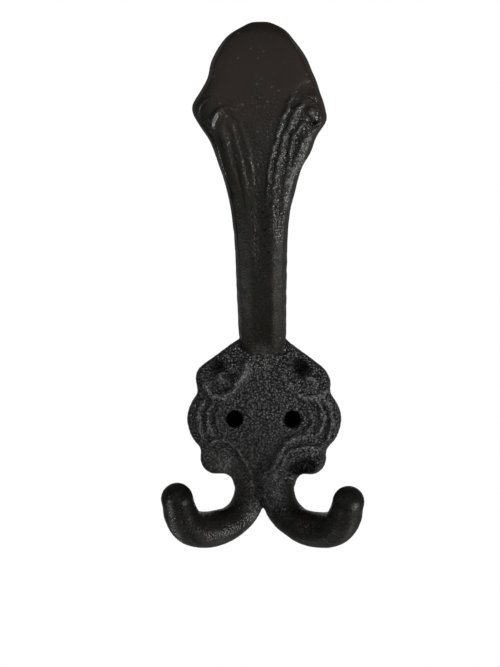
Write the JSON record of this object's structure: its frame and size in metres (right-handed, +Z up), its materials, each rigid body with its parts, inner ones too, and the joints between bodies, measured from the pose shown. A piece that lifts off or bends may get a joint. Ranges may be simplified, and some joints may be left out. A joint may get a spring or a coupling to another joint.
{
  "type": "coat hook",
  "caption": "Cast iron wall coat hook: a scalloped plate with scroll relief, a long reeded upper arm with curled shoulders, and lower hooks that curve out and up.",
  "frame": {"origin": "on the wall plane, midway between the screw holes", "axes": "+X to the right across the wall as seen from the room, +Y into the wall, +Z up"},
  "size_m": [0.0594, 0.0649, 0.1493],
  "materials": {
    "iron": "satin, fine sand-cast grain"
  },
  "bodies": {
    "root": {"coat_hook": "iron"}
  },
  "joints": []
}
